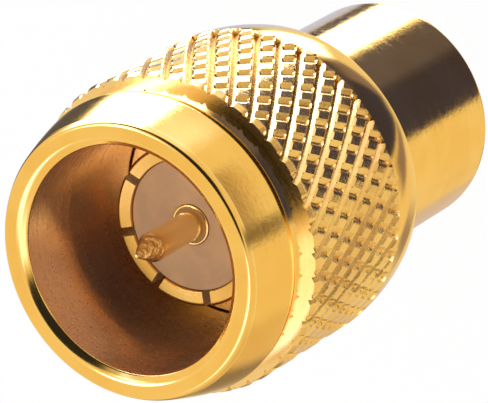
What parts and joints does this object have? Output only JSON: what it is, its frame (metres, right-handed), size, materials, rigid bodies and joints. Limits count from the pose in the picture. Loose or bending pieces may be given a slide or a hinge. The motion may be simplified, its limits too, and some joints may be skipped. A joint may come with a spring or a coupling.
{
  "type": "coaxial terminator",
  "caption": "Push-on coaxial terminator with a knurled turning sleeve, slotted outer contact, centre pin and smooth closed rear.",
  "frame": {"origin": "centre of the flat rear face, on which it stands", "axes": "+Z along the mating axis, out of the mouth"},
  "size_m": [0.01, 0.01, 0.0157],
  "materials": {
    "sleeve_gold": "gold plated, bright turned and knurled",
    "body_gold": "gold plated, satin",
    "contact_gold": "gold plated, satin",
    "pin_gold": "gold plated, turned",
    "housing_gold": "gold plated, fine satin grain",
    "bead_white": "translucent white fluoropolymer",
    "ring_bronze": "spring bronze, plain",
    "insert_brass": "bare turned brass",
    "rod_ceramic": "white ceramic with resistive film",
    "cap_tin": "tinned"
  },
  "bodies": {
    "terminator_body": {"front_body": "body_gold", "outer_contact": "contact_gold", "dielectric_bead": "bead_white", "centre_pin": "pin_gold", "rear_housing": "housing_gold", "taper_insert": "insert_brass", "resistor_rod": "rod_ceramic", "resistor_front_cap": "cap_tin", "resistor_rear_cap": "cap_tin", "retaining_ring": "ring_bronze"},
    "sleeve": {"coupling_sleeve": "sleeve_gold"}
  },
  "joints": [
    {"name": "sleeve_turn", "type": "hinge", "parent": "terminator_body", "child": "sleeve", "pos_m": [0, 0, 0.011], "axis": [0, 0, 1], "continuous": true}
  ]
}
